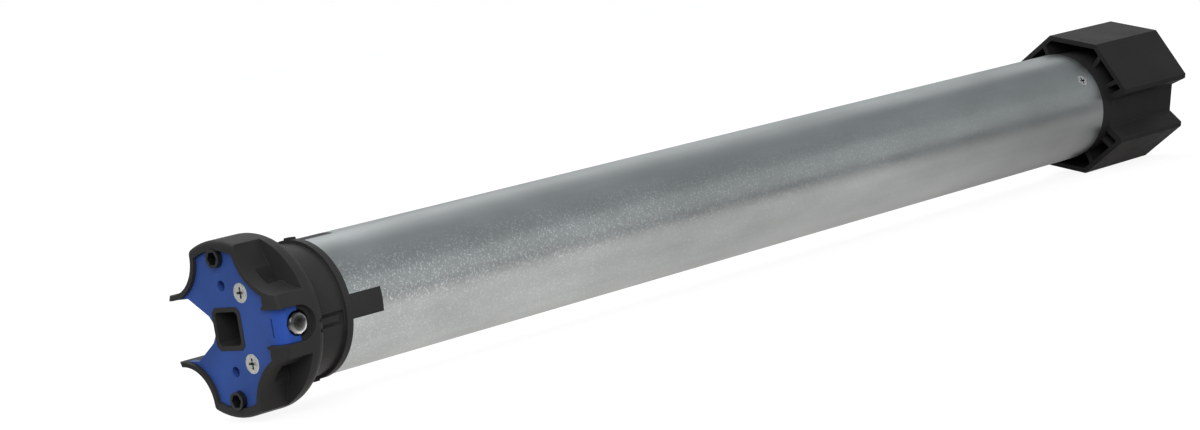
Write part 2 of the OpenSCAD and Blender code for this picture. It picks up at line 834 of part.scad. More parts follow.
module capacitor_collars() {
    slot_half = 1.5 * lead_pitch + lead_r;
    color([0.25, 0.25, 0.26]) for (x = [capacitor_x + 4, capacitor_x + capacitor_len - 14])
        difference() {
            ring_x_between(x, collar_len, inner_r, capacitor_r);
            translate([x - 1, lead_y - lead_r - 0.4, -slot_half])
                cube([collar_len + 2, 2 * inner_r, 2 * slot_half]);
        }
}

module motor_leads() {
    color([0.55, 0.35, 0.15]) for (i = [-1, 0, 1])
        translate([0, lead_y, i * lead_pitch])
            rod_x(limit_end - 1, stator_x - winding_overhang + 2 - limit_end + 1, lead_r);
}

// Motor

module end_shield(x, hub_dir) {
    color([0.66, 0.67, 0.69]) difference() {
        union() {
            rod_x(x, shield_t, inner_r);
            rod_x(hub_dir < 0 ? x - hub_len : x, shield_t + hub_len, hub_r);
        }
        rod_x(x - hub_len - 1, shield_t + 2 * hub_len + 2, bush_r + fit);
        for (a = [30:60:330]) rotate([a, 0, 0]) translate([0, 0, 15]) rod_x(x - 1, shield_t + 2, 2.2);
        if (hub_dir < 0) translate([x - 1, lead_y - lead_r - 0.3, -lead_pitch - lead_r - 0.3])
            cube([shield_t + 2, inner_r, 2 * (lead_pitch + lead_r + 0.3)]);
    }
}

module rear_end_shield() {
    end_shield(rear_shield_x, -1);
}

module front_end_shield() {
    end_shield(front_shield_x, 0);
}

module rear_bush() {
    color(brass) ring_x_between(rear_shield_x - hub_len, shield_t + hub_len, bush_r, shaft_r + run_gap);
}

module front_bush() {
    color(brass) ring_x_between(front_shield_x, shield_t, bush_r, shaft_r + run_gap);
}

slot_count = 12;

module stator_slot(grow) {
    polygon([turned(12.0 - grow, -4.4), turned(17.6 + grow, -7), turned(17.6 + grow, 7),
        turned(12.0 - grow, 4.4)]);
}

module stator_core() {
    mouth = 1.6;
    color([0.50, 0.51, 0.53]) at_x(stator_x) linear_extrude(stator_len) difference() {
        circle(r = inner_r);
        circle(r = stator_bore_r);
        for (i = [0:slot_count - 1]) rotate(i * 360 / slot_count) {
            stator_slot(0);
            translate([stator_bore_r - 1, -mouth / 2]) square([3, mouth]);
        }
    }
}

module stator_windings() {
    lip = winding_overhang - 2;
    color(copper) {
        for (x = [stator_x - lip, stator_x + stator_len])
            ring_x_between(x, lip, winding_out_r, winding_in_r);
        for (i = [0:slot_count - 1]) at_x(stator_x - eps) linear_extrude(stator_len + 2 * eps)
            rotate(i * 360 / slot_count)
                polygon([turned(12.5, -3), turned(17.3, -5.6), turned(17.3, 5.6), turned(12.5, 3)]);
    }
}

module rotor_core() {
    color([0.45, 0.46, 0.48]) ring_x_between(stator_x, stator_len, rotor_r, shaft_r + 0.01);
}

module rotor_end_rings() {
    ring_len = 4;
    color([0.80, 0.81, 0.82]) for (x = [stator_x - ring_len, stator_x + stator_len])
        ring_x_between(x, ring_len, rotor_r - 0.6, rotor_r - 3.4);
}

module rotor_shaft() {
    neck_x = front_plate_x;
    color(steel) {
        rod_x(rear_shield_x - hub_len - rotor_tail, neck_x - rear_shield_x + hub_len + rotor_tail, shaft_r);
        rod_x(neck_x, planet_1_x + face_1 - neck_x, neck_r);
        rod_x(collar_x, collar_t, shaft_r + 2);
    }
}

module rotor_pinion() {
    color(brass) at_x(planet_1_x) linear_extrude(face_1 - 0.5) difference() {
        outer_teeth(sun_teeth, gear_m);
        circle(r = neck_r + 0.01);
    }
}

// Brake: a disc on the rotor shaft, pushed onto the lining until the motor runs

module brake_case() {
    color([0.30, 0.30, 0.31]) ring_x_between(front_shield_x + shield_t, brake_len, inner_r, inner_r - 2.6);
}

module brake_lining() {
    color([0.35, 0.25, 0.18]) ring_x_between(front_plate_x - lining_t, lining_t, lining_out_r, lining_in_r);
}

module brake_disc() {
    color(steel) difference() {
        union() {
            rod_x(disc_x, disc_t, disc_r);
            rod_x(disc_x - disc_hub_len, disc_hub_len + 1, disc_hub_r);
        }
        rod_x(disc_x - disc_hub_len - 1, disc_hub_len + disc_t + 2, shaft_r + run_gap);
    }
}

module brake_spring() {
    x = collar_x + collar_t;
    wire = 0.45;
    color(steel) coil_x(x + 0.05, disc_x - disc_hub_len - x - 0.1, shaft_r + 1.3, wire, 4);
}

// Gearbox: three planetary stages in one ring gear

module gearbox_front_plate() {
    color([0.66, 0.67, 0.69]) ring_x_between(front_plate_x, front_plate_t, inner_r, sun_r + 1.4);
}

module ring_gear() {
    len = plug_x - front_plate_x - front_plate_t;
    color([0.24, 0.24, 0.25]) at_x(front_plate_x + front_plate_t) linear_extrude(len) difference() {
        circle(r = inner_r);
        rotate(180 / ring_teeth)
            gear_outline(ring_teeth, gear_m, dedendum, -addendum, PI * gear_m / 4 + backlash / 2);
    }
}

module planet(x, face, k) {
    dir = 120 * k;
    mesh_turn = dir + 180 + dir * sun_teeth / planet_teeth + 180 / planet_teeth;
    at = turned(planet_centre, dir);
    color([0.93, 0.92, 0.86]) translate([0, at[0], at[1]])
        difference() {
            at_x(x) linear_extrude(face) rotate(mesh_turn) outer_teeth(planet_teeth, gear_m);
            rod_x(x - 1, face + 2, pin_r + run_gap);
        }
}

module pin_circle(x, len, r) {
    for (k = [0:2]) let (at = turned(planet_centre, 120 * k))
        translate([0, at[0], at[1]]) rod_x(x, len, r);
}

// A planet carrier with its pins and the sun gear of the next stage
module carrier(x, pin_from, sun_len) {
    color(steel) {
        rod_x(x, carrier_t, carrier_r);
        pin_circle(pin_from, x - pin_from + 1, pin_r);
        at_x(x + carrier_t - 0.5) linear_extrude(sun_len + 0.5) outer_teeth(sun_teeth, gear_m);
    }
}

module carrier_1() {
    carrier(carrier_1_x, planet_1_x + 0.3, face_2);
}

module carrier_2() {
    carrier(carrier_2_x, planet_2_x + 0.3, face_3);
}

module planet_1a() { planet(planet_1_x, face_1, 0); }
module planet_1b() { planet(planet_1_x, face_1, 1); }
module planet_1c() { planet(planet_1_x, face_1, 2); }
module planet_2a() { planet(planet_2_x, face_2, 0); }
module planet_2b() { planet(planet_2_x, face_2, 1); }
module planet_2c() { planet(planet_2_x, face_2, 2); }
module planet_3a() { planet(planet_3_x, face_3, 0); }
module planet_3b() { planet(planet_3_x, face_3, 1); }
module planet_3c() { planet(planet_3_x, face_3, 2); }

module output_carrier() {
    color(steel) difference() {
        rod_x(out_plate_x, carrier_t, carrier_r);
        rod_x(out_plate_x - 1, carrier_t + 2, output_r + 0.02);
        pin_circle(out_plate_x - 1, carrier_t + 2, pin_r + 0.02);
    }
}

module planet_pins() {
    color(steel) pin_circle(planet_3_x + 0.3, out_plate_x + carrier_t - planet_3_x - 0.3, pin_r);
}

module shaft_flats(r, half) {
    intersection() {
        circle(r = r);
        square([2 * r + 1, 2 * half], center = true);
    }
}

module output_shaft() {
    color(steel) {
        rod_x(out_plate_x, hub_start - out_plate_x, output_r);
        at_x(hub_start) linear_extrude(clip_x - hub_start) rotate(wheel_turn)
            shaft_flats(output_r - 0.05, flat_half);
        rod_x(clip_x, clip_t, clip_neck_r);
        at_x(clip_x + clip_t) linear_extrude(shaft_end - clip_x - clip_t)
            rotate(wheel_turn) shaft_flats(output_r - 0.05, flat_half);
    }
}

module output_bush() {
    flange_r = 9;
    color(brass) {
        ring_x_between(plug_x + 1, tube_end - plug_x - 1, bush_r + 1, output_r + run_gap);
        ring_x_between(tube_end, 1.5, flange_r + 1, output_r + run_gap);
    }
}

module gearbox_plug() {
    color([0.66, 0.67, 0.69]) difference() {
        rod_x(plug_x, plug_len, inner_r);
        rod_x(plug_x - 1, plug_len + 2, output_r + 0.8);
        rod_x(plug_x + 1, plug_len, bush_r + 1 + 0.02);
        tube_screw_places() translate([0, 0, tube_r - tube_screw_len - 0.5])
            cylinder(h = tube_screw_len, r = tube_screw_r + 0.02);
    }
}

// Drive wheel: an octagonal shell round a ring and a hub, with a groove for the roller tube's seam

module octagon(inset) {
    rotate(180 + wheel_turn + 22.5) circle(r = wheel_corner_r - inset / cos(22.5), $fn = 8);
}

// The groove lies along the side at 180 degrees before the wheel is turned
module groove_outline(grow) {
    far = wheel_af / 2 + 4;
    spread = (groove_mouth - groove_w) / (wheel_af / 2 - groove_floor) / 2;
    floor_at = groove_floor - grow;
    half = groove_w / 2 + grow;
    end_half = half + spread * (far - floor_at);
    rotate(wheel_turn)
        polygon([[-floor_at, -half], [-far, -end_half], [-far, end_half], [-floor_at, half]]);
}

module drive_wheel() {
    rib_t = 1.8;
    color(black) at_x(0) difference() {
        union() {
            translate([0, 0, wheel_x]) linear_extrude(wheel_len) difference() {
                union() {
                    difference() {
                        octagon(0);
                        octagon(wheel_wall);
                    }
                    intersection() {
                        octagon(0.1);
                        groove_outline(wheel_wall);
                    }
                    intersection() {
                        octagon(0.5);
                        difference() {
                            for (i = [0:7]) rotate(wheel_turn + 22.5 + i * 45 + (i % 2 == 0 ? 9 : -9))
                                translate([wheel_ring_in + 0.5, -rib_t / 2]) square([wheel_af / 2, rib_t]);
                        }
                    }
                }
                groove_outline(0);
            }
            translate([0, 0, wheel_ring_x]) linear_extrude(wheel_end - wheel_ring_x) difference() {
                circle(r = wheel_ring_out);
                circle(r = wheel_ring_in);
            }
            translate([0, 0, web_x]) linear_extrude(web_t) difference() {
                octagon(0.5);
                groove_outline(0.5);
            }
            translate([0, 0, hub_start]) cylinder(h = hub_end - hub_start, r = wheel_hub_r);
            translate([0, 0, hub_start + 4]) linear_extrude(hub_end - hub_start - 4) for (i = [0:5])
                rotate(wheel_turn + i * 60) translate([wheel_hub_r - 1, -rib_t / 2])
                    square([wheel_ring_in - wheel_hub_r + 1.5, rib_t]);
        }
        translate([0, 0, hub_start - 1]) linear_extrude(wheel_len) rotate(wheel_turn)
            shaft_flats(output_r + 0.1, flat_half + 0.1);
    }
}

module wheel_clip() {
    gap_w = 5;
    color(steel) rotate([wheel_turn, 0, 0]) difference() {
        ring_x_between(clip_x + 0.1, clip_t - 0.2, output_r + 1.8, clip_neck_r + fit);
        translate([clip_x - 1, -gap_w / 2, 0]) cube([clip_t + 2, gap_w, 2 * output_r]);
    }
}

head_housing();
face_plate();
square_sleeve();
plate_screws();
cable_inlet();
inlet_contacts();
inlet_leads();
board_plug();
catch_pin();
catch_spring();
limit_socket(1);  // limit_socket_top
limit_socket(-1);  // limit_socket_bottom
limit_rod(1);  // limit_rod_top
limit_rod(-1);  // limit_rod_bottom
limit_nut(1);  // limit_nut_top
limit_nut(-1);  // limit_nut_bottom
limit_frame();
limit_board();
limit_switches();
motor_tube();
tube_screws();
capacitor();
capacitor_collars();
motor_leads();
rear_end_shield();
front_end_shield();
rear_bush();
front_bush();
stator_core();
stator_windings();
rotor_core();
rotor_end_rings();
rotor_shaft();
rotor_pinion();
brake_case();
brake_lining();
brake_disc();
brake_spring();
gearbox_front_plate();
ring_gear();
planet_1a();
planet_1b();
planet_1c();
carrier_1();
planet_2a();
planet_2b();
planet_2c();
carrier_2();
planet_3a();
planet_3b();
planet_3c();
output_carrier();
planet_pins();
output_shaft();
output_bush();
gearbox_plug();
drive_wheel();
wheel_clip();
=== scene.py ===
"""A tubular roller blind motor, seen as in a shop's photo: head at the lower left, drive wheel behind."""

import json
import math

import bmesh
import bpy
from mathutils import Matrix, Vector


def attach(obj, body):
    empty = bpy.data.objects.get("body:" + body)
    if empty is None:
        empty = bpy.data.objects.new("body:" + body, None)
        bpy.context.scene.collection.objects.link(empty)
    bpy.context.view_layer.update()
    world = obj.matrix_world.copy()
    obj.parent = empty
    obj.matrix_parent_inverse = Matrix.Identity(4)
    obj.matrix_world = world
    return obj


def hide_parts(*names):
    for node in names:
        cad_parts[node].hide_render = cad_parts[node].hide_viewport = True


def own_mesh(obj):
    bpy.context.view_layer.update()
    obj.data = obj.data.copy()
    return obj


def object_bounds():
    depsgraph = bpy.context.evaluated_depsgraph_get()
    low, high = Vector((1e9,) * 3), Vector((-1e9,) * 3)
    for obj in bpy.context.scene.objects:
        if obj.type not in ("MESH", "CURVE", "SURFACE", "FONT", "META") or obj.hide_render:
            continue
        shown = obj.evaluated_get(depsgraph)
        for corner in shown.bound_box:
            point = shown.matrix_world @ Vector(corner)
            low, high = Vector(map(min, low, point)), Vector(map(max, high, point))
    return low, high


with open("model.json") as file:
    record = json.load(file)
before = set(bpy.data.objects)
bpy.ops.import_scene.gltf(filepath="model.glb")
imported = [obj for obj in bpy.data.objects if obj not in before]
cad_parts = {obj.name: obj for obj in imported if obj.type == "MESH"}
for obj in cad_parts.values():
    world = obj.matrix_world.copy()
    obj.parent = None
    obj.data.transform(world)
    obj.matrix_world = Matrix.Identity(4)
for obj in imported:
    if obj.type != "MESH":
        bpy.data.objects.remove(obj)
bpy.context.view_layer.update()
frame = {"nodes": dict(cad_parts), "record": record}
NODES = frame["nodes"]
MM = 0.001
X = Vector((1, 0, 0))
Y = Vector((0, 1, 0))
Z = Vector((0, 0, 1))
WHITE = (1.0, 1.0, 1.0)
EVEN = (1, 1, 1)

# Where a noise pattern counts as low and as high
LOW = 0.3
HIGH = 0.7
# Rays for each point of a rounded edge and of a hollow's painted shade
EDGE_SAMPLES = 4
HOLLOW_SAMPLES = 6


# Nodes that the materials share

def new_material(name):
    mat = bpy.data.materials.new(name)
    mat.use_nodes = True
    tree = mat.node_tree
    tree.nodes.clear()
    out = tree.nodes.new("ShaderNodeOutputMaterial")
    shader = tree.nodes.new("ShaderNodeBsdfPrincipled")
    tree.links.new(shader.outputs[0], out.inputs[0])
    return mat, tree, shader


def new_metal(name):
    mat, tree, shader = new_material(name)
    shader.inputs["Metallic"].default_value = 1
    return mat, tree, shader


def feed(tree, sockets, values):
    """Give each socket its value: a number or colour is set, and another node's output is linked."""
    for socket, value in zip(sockets, values):
        if value is None:
            continue
        if isinstance(value, bpy.types.NodeSocket):
            tree.links.new(value, socket)
        elif isinstance(value, tuple) and len(socket.default_value) == 4:
            socket.default_value = (*value, 1)
        else:
            socket.default_value = value


def coords(tree, stretch=EVEN):
    """The object's own coordinates, in metres."""
    source = tree.nodes.new("ShaderNodeTexCoord")
    mapping = tree.nodes.new("ShaderNodeMapping")
    mapping.inputs["Scale"].default_value = stretch
    tree.links.new(source.outputs["Object"], mapping.inputs[0])
    return mapping.outputs[0]


def places(tree):
    """The point's own x, y and z."""
    node = tree.nodes.new("ShaderNodeSeparateXYZ")
    tree.links.new(coords(tree), node.inputs[0])
    return node.outputs


def noise(tree, scale, detail=3.0, stretch=EVEN):
    tex = tree.nodes.new("ShaderNodeTexNoise")
    tex.inputs["Scale"].default_value = scale
    tex.inputs["Detail"].default_value = detail
    tree.links.new(coords(tree, stretch), tex.inputs["Vector"])
    return tex.outputs[0]


def ramp(tree, source, stops):
    """Stops are pairs of a position and a grey or a colour."""
    node = tree.nodes.new("ShaderNodeValToRGB")
    elements = node.color_ramp.elements
    while len(elements) < len(stops):
        elements.new(0.5)
    for element, (position, value) in zip(elements, stops):
        element.position = position
        element.color = (*value, 1) if hasattr(value, "__len__") else (value, value, value, 1)
    tree.links.new(source, node.inputs[0])
    return node.outputs[0]


def around(tree, source, middle, reach):
    """A grey that swings about its middle with the source."""
    return ramp(tree, source, [(LOW, middle - reach), (HIGH, middle + reach)])


def shade(tree, source, base, spread):
    """A colour that is darker and lighter than its base with the source."""
    dark = [c * (1 - spread) for c in base]
    light = [min(1, c * (1 + spread)) for c in base]
    return ramp(tree, source, [(LOW, dark), (HIGH, light)])


def maths(tree, kind, one, two=0.0):
    node = tree.nodes.new("ShaderNodeMath")
    node.operation = kind
    feed(tree, node.inputs, (one, two))
    return node.outputs[0]


def product(tree, first, *others):
    for other in others:
        first = maths(tree, "MULTIPLY", first, other)
    return first


def vector_maths(tree, kind, one, two=None, factor=None):
    node = tree.nodes.new("ShaderNodeVectorMath")
    node.operation = kind
    feed(tree, node.inputs, (one, two))
    if factor is not None:
        tree.links.new(factor, node.inputs["Scale"])
    return node.outputs[0]


def mix(tree, kind, factor, one, two):
    node = tree.nodes.new("ShaderNodeMixRGB")
    node.blend_type = kind
    feed(tree, node.inputs, (factor, one, two))
    return node.outputs[0]


def mix_shaders(tree, factor, one, two):
    node = tree.nodes.new("ShaderNodeMixShader")
    feed(tree, node.inputs, (factor, one, two))
    return node.outputs[0]


def rounded(tree, radius):
    """The surface's direction as if its edges had this radius."""
    node = tree.nodes.new("ShaderNodeBevel")
    node.samples = EDGE_SAMPLES
    node.inputs["Radius"].default_value = radius
    return node.outputs[0]


def edge_mask(tree, soft_normal):
    """1 on an edge, 0 on a face: how far the rounded direction leaves the flat one."""
    flat = tree.nodes.new("ShaderNodeNewGeometry")
    dot = tree.nodes.new("ShaderNodeVectorMath")
    dot.operation = "DOT_PRODUCT"
    tree.links.new(soft_normal, dot.inputs[0])
    tree.links.new(flat.outputs["Normal"], dot.inputs[1])
    return ramp(tree, dot.outputs["Value"], [(0.88, 1.0), (0.99, 0.0)])


def bump(tree, shader, source, strength, distance, normal=None):
    node = tree.nodes.new("ShaderNodeBump")
    node.inputs["Strength"].default_value = strength
    node.inputs["Distance"].default_value = distance
    tree.links.new(source, node.inputs["Height"])
    if normal is not None:
        tree.links.new(normal, node.inputs["Normal"])
    tree.links.new(node.outputs[0], shader.inputs["Normal"])


def painted_hollow_shade(tree, reach, deepest_shade):
    """Painted shade: dark in recesses and slots, full tone on open faces."""
    node = tree.nodes.new("ShaderNodeAmbientOcclusion")
    node.samples = HOLLOW_SAMPLES
    node.inputs["Distance"].default_value = reach
    return ramp(tree, node.outputs["AO"], [(0.45, deepest_shade), (0.9, 1.0)])


# Moulded plastic: noise scales are per metre, sizes in metres
CLOUD_SCALE = 45
CLOUD_SPREAD = 0.18
GRAIN_SCALE = 2600
GRAIN_STRENGTH = 0.12
GRAIN_DEPTH = 0.00008
RUB_SCALE = 240
SHINE_SCALE = 90
SHINE_REACH = 0.08
ROUGH_REACH = 0.05
MOULDED_EDGE = 0.0003
EDGE_LIFT = 0.02
# The colour turns to a brighter blue between these distances from the axis, towards the catch: painted
# light on the recess
RECESS_FROM = 0.0212
RECESS_FULL = 0.0224


def plastic(name, base, rough, edge=0.0, gloss=0.4, painted_light_colour=None):
    """Edges are lighter by the share edge: partly wear from rubbing, partly a painted highlight. The
    catch's recess can have a brighter colour of its own, as painted light.
    """
    mat, tree, shader = new_material(name)
    shader.inputs["Specular IOR Level"].default_value = gloss
    fine = noise(tree, GRAIN_SCALE, detail=2)
    colour = shade(tree, noise(tree, CLOUD_SCALE), base, CLOUD_SPREAD)
    # Painted light: the catch's recess gets a brighter blue, as if it faced the light.
    if painted_light_colour:
        outwards = maths(tree, "MULTIPLY", places(tree)[1], -1.0)
        recess = ramp(tree, outwards, [(RECESS_FROM, 0.0), (RECESS_FULL, 1.0)])
        colour = mix(tree, "MIX", recess, colour, painted_light_colour)
    soft = rounded(tree, MOULDED_EDGE)
    # Edges are lightened in patches: partly wear, partly a painted highlight along the rounded edges.
    if edge:
        rub_and_glint_patches = ramp(tree, noise(tree, RUB_SCALE, detail=4), [(0.35, 0.1), (0.7, 1.0)])
        worn_and_highlit = product(tree, edge_mask(tree, soft), rub_and_glint_patches)
        light = tuple(min(1, c * (1 + edge) + EDGE_LIFT * edge) for c in base)
        colour = mix(tree, "MIX", worn_and_highlit, colour, light)
    tree.links.new(colour, shader.inputs["Base Color"])
    patches = ramp(tree, noise(tree, SHINE_SCALE), [(0.35, 0.0), (0.7, SHINE_REACH)])
    roughness = maths(tree, "ADD", around(tree, fine, rough, ROUGH_REACH), patches)
    tree.links.new(roughness, shader.inputs["Roughness"])
    bump(tree, shader, fine, GRAIN_STRENGTH, GRAIN_DEPTH, soft)
    return mat


# Metals
METAL_SCALE = 900
METAL_SPREAD = 0.12
METAL_GRAIN = 0.1
METAL_DEPTH = 0.00005
METAL_EDGE = 0.0002
SLOT_REACH = 0.0009


def metal(name, base, rough, stretch=EVEN, scale=METAL_SCALE):
    """Inner metal parts. A stretch along x draws the grain round the axis."""
    mat, tree, shader = new_metal(name)
    tex = noise(tree, scale, stretch=stretch)
    tree.links.new(shade(tree, tex, base, METAL_SPREAD), shader.inputs["Base Color"])
    tree.links.new(around(tree, tex, rough, ROUGH_REACH), shader.inputs["Roughness"])
    bump(tree, shader, tex, METAL_GRAIN, METAL_DEPTH, rounded(tree, METAL_EDGE))
    return mat


def screw(name, base, rough, deepest_shade):
    """Bright steel with painted shade darkening its cross recess."""
    mat, tree, shader = new_metal(name)
    tex = noise(tree, METAL_SCALE)
    # Painted shade darkens the cross recess.
    tone = product(tree, ramp(tree, tex, [(LOW, 0.88), (HIGH, 1.1)]), painted_hollow_shade(tree, SLOT_REACH, deepest_shade))
    tree.links.new(mix(tree, "MULTIPLY", 1.0, base, tone), shader.inputs["Base Color"])
    tree.links.new(around(tree, tex, rough, ROUGH_REACH), shader.inputs["Roughness"])
    bump(tree, shader, tex, METAL_GRAIN, METAL_DEPTH, rounded(tree, METAL_EDGE))
    return mat


def button(name, centre, radius):
    """The catch: a crown with a painted reflection, dark in the middle with a bright ring round its rim,
    brightest on the side away from the plate.
    """
    mat, tree, shader = new_metal(name)
    spot = places(tree)
    along, up = [maths(tree, "DIVIDE", maths(tree, "SUBTRACT", spot[i], centre[i]), radius) for i in (0, 2)]
    far = maths(tree, "SQRT", maths(tree, "ADD", product(tree, along, along), product(tree, up, up)))
    # Painted reflection: a dark middle and a bright ring near the rim.
    rim = ramp(tree, far, [(0.35, 0.13), (0.58, 0.2), (0.74, 0.8), (0.9, 0.65), (0.98, 0.3)])
    # Painted highlight: the ring is brighter on the side away from the plate and downwards.
    away = maths(tree, "ADD", product(tree, maths(tree, "SUBTRACT", along, up), 0.35), 0.5)
    side = ramp(tree, away, [(0.12, 0.12), (0.5, 0.4), (0.8, 1.0)])
    wear = ramp(tree, noise(tree, 700), [(LOW, 0.8), (HIGH, 1.15)])
    tone = product(tree, rim, side, wear)
    tree.links.new(mix(tree, "MULTIPLY", 1.0, (1.0, 1.0, 0.99), tone), shader.inputs["Base Color"])
    polish = ramp(tree, noise(tree, METAL_SCALE, detail=2), [(LOW, 0.09), (HIGH, 0.16)])
    tree.links.new(polish, shader.inputs["Roughness"])
    bump(tree, shader, noise(tree, 1200, detail=2), 0.04, METAL_DEPTH)
    return mat


# Zinc-plated tube: ramps by place are in metres along the axis, or a share of the tube's height
TUBE_D = 0.045
CRYSTAL_SCALE = 2100
CRYSTAL_LEAN = 0.16
CRYSTAL_ROUGH = 0.06
ZINC_ROUGH = 0.33
ZINC_ROUGH_REACH = 0.04
CRYSTALS_AND_GLINTS_ALONG = [(0.03, 1.0), (0.12, 0.8), (0.25, 0.45), (0.4, 0.15)]
CRYSTALS_AND_GLINTS_UP = [(0.38, 0.3), (0.5, 0.8), (0.64, 1.0), (0.76, 0.7), (0.88, 0.0)]
# Crystal tones: spangle, and the brightest, up to 1.7, are painted glints
CRYSTAL_TONES_AND_GLINTS = [(0.0, 0.84), (0.5, 0.96), (0.7, 1.08), (0.86, 1.7)]
# Painted shade: the tube's tone by metres along the axis, darker towards the wheel
PAINTED_SHADE_ALONG = [(0.03, 1.02), (0.16, 0.95), (0.30, 0.94), (0.46, 0.905)]


def facets(tree, scale, lean):
    """Crystals: each one has its own tone and leans its own way."""
    tex = tree.nodes.new("ShaderNodeTexVoronoi")
    tex.inputs["Scale"].default_value = scale
    tree.links.new(coords(tree), tex.inputs["Vector"])
    away = vector_maths(tree, "SUBTRACT", tex.outputs["Color"], (0.5, 0.5, 0.5))
    surface = tree.nodes.new("ShaderNodeNewGeometry")
    tilt = vector_maths(tree, "SCALE", away, factor=lean)
    leaning = vector_maths(tree, "ADD", surface.outputs["Normal"], tilt)
    grey = tree.nodes.new("ShaderNodeRGBToBW")
    tree.links.new(tex.outputs["Color"], grey.inputs[0])
    return grey.outputs[0], vector_maths(tree, "NORMALIZE", leaning)


def zinc(name, base):
    """Clouds, drawing streaks along the axis, and crystals that are strongest near the head. The brightest
    crystal tones are painted glints, and the tube is painted darker towards the wheel as shade.
    """
    mat, tree, shader = new_metal(name)
    spot = places(tree)
    height = maths(tree, "ADD", maths(tree, "DIVIDE", spot[2], TUBE_D), 0.5)
    shown = product(tree, ramp(tree, spot[0], CRYSTALS_AND_GLINTS_ALONG), ramp(tree, height, CRYSTALS_AND_GLINTS_UP))
    crystals, leaning = facets(tree, CRYSTAL_SCALE, product(tree, shown, CRYSTAL_LEAN))
    # Spangle tones, with painted glints in the band where the crystals show
    spangle_and_glints = mix(tree, "MIX", shown, WHITE, ramp(tree, crystals, CRYSTAL_TONES_AND_GLINTS))
    clouds = ramp(tree, noise(tree, 26, detail=4, stretch=(0.35, 1, 1)), [(LOW, 0.88), (HIGH, 1.1)])
    streaks = ramp(tree, noise(tree, 260, stretch=(0.02, 1, 1)), [(LOW, 0.96), (HIGH, 1.03)])
    patches = ramp(tree, noise(tree, 85, stretch=(0.45, 1, 1)), [(0.35, 0.95), (0.65, 1.05)])
    # Clouds, streaks and patches, with the painted shade along the tube
    blotches_and_shade = product(tree, clouds, streaks, patches, ramp(tree, spot[0], PAINTED_SHADE_ALONG))
    tone = mix(tree, "MULTIPLY", 1.0, spangle_and_glints, blotches_and_shade)
    tree.links.new(mix(tree, "MULTIPLY", 1.0, base, tone), shader.inputs["Base Color"])
    smears = around(tree, noise(tree, 60, stretch=(0.5, 1, 1)), ZINC_ROUGH, ZINC_ROUGH_REACH)
    own = product(tree, maths(tree, "SUBTRACT", crystals, 0.5), shown, CRYSTAL_ROUGH)
    tree.links.new(maths(tree, "ADD", smears, own), shader.inputs["Roughness"])
    tree.links.new(leaning, shader.inputs["Normal"])
    return mat


# The catch's button: the middle and the radius of its crown
BUTTON_CENTRE = (0.0062, 0, 0)
BUTTON_R = 0.0039

HEAD_BLACK = (0.0425, 0.0405, 0.0400)
WHEEL_BLACK = (0.0325, 0.0300, 0.0300)
PLATE_BLUE = (0.041, 0.101, 0.385)
# The brighter blue is painted light in the catch's recess
PAINTED_LIGHT_BLUE = (0.032, 0.106, 0.52)

MATS = {
    "black_plastic": plastic("head black", HEAD_BLACK, rough=0.46, edge=0.6, gloss=0.12),
    "wheel_plastic": plastic("wheel black", WHEEL_BLACK, rough=0.45, edge=0.7, gloss=0.08),
    "dark_plastic": plastic("dark plastic", (0.011, 0.011, 0.012), rough=0.34, gloss=0.5),
    "blue_plastic": plastic("plate blue", PLATE_BLUE, rough=0.44, edge=0.25, gloss=0.25, painted_light_colour=PAINTED_LIGHT_BLUE),
    "grey_plastic": plastic("grey plastic", (0.45, 0.45, 0.43), rough=0.5),
    "natural_plastic": plastic("natural plastic", (0.75, 0.72, 0.62), rough=0.5),
    "capacitor_case": plastic("capacitor case", (0.7, 0.7, 0.66), rough=0.4),
    "board": plastic("board", (0.02, 0.14, 0.06), rough=0.35),
    "lead_insulation": plastic("lead insulation", (0.05, 0.08, 0.35), rough=0.4),
    "motor_insulation": plastic("motor lead insulation", (0.25, 0.11, 0.04), rough=0.4),
    "friction_lining": plastic("brake lining", (0.12, 0.08, 0.06), rough=0.8),
    "zinc_steel": zinc("zinc-plated tube", (0.43, 0.447, 0.45)),
    "screw_steel": screw("screw steel", (0.86, 0.86, 0.83), rough=0.3, deepest_shade=0.12),
    "polished_steel": button("button steel", BUTTON_CENTRE, BUTTON_R),
    "spring_steel": metal("spring steel", (0.5, 0.5, 0.52), rough=0.3),
    "lamination": metal("laminations", (0.35, 0.36, 0.38), rough=0.5, stretch=(400, 1, 1), scale=8),
    "ground_steel": metal("ground steel", (0.6, 0.61, 0.62), rough=0.25, stretch=(30, 1, 1), scale=60),
    "cast_alloy": metal("cast alloy", (0.6, 0.61, 0.63), rough=0.5),
    "rotor_alloy": metal("rotor alloy", (0.7, 0.71, 0.72), rough=0.4),
    "sintered_bronze": metal("sintered bronze", (0.6, 0.42, 0.2), rough=0.45),
    "brass": metal("brass", (0.78, 0.6, 0.28), rough=0.3),
    "copper_wire": metal("copper winding", (0.6, 0.26, 0.1), rough=0.35, stretch=(200, 1, 1), scale=10),
}

for part in frame["record"]["subparts"]:
    obj = NODES[part["node"]]
    obj.data.materials.clear()
    obj.data.materials.append(MATS[part["material_slot"]])
# Painted shade: the tube's screws get a darker steel and a deeper recess shade, for the dimples they sit
# in.
shaded_tube_screw_steel = screw("tube screw steel", (0.62, 0.62, 0.61), rough=0.16, deepest_shade=0.05)
NODES["tube_screws"].data.materials[0] = shaded_tube_screw_steel

# The two springs: round wire between flat seats, each built at one length on its body
COIL_STEPS = 24
WIRE_SIDES = 10


